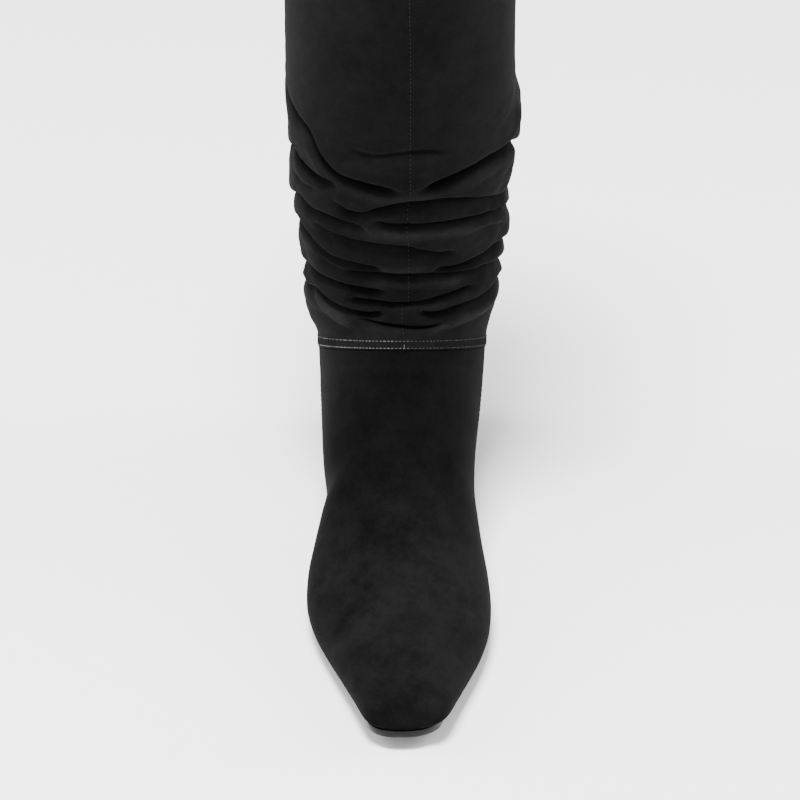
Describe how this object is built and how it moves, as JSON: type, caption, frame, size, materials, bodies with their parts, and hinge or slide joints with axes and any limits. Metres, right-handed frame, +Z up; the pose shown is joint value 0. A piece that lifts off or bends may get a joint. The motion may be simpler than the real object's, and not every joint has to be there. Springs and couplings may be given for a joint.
{
  "type": "slouch boot",
  "caption": "Tall pull-on slouch boot in black suede with a folded ankle, a snipped toe, a thin sole and a low block heel; right foot.",
  "frame": {"origin": "on the floor, under the middle of the heel, on the underside of the heel lift", "axes": "+Z up along the shaft, -Y towards the toe, +X towards the inner side of the foot"},
  "size_m": [0.1108, 0.2781, 0.396],
  "materials": {
    "suede": "matt black suede with a soft mottled nap",
    "lining": "dark textile lining",
    "sole": "dark sole with a smooth glossy edge",
    "heel": "dark stacked heel, satin",
    "heel_rubber": "matt black rubber"
  },
  "bodies": {
    "root": {"vamp": "suede", "counter": "suede", "shaft": "suede", "insole": "lining", "outsole": "sole", "heel_block": "heel", "heel_lift": "heel_rubber"}
  },
  "joints": []
}
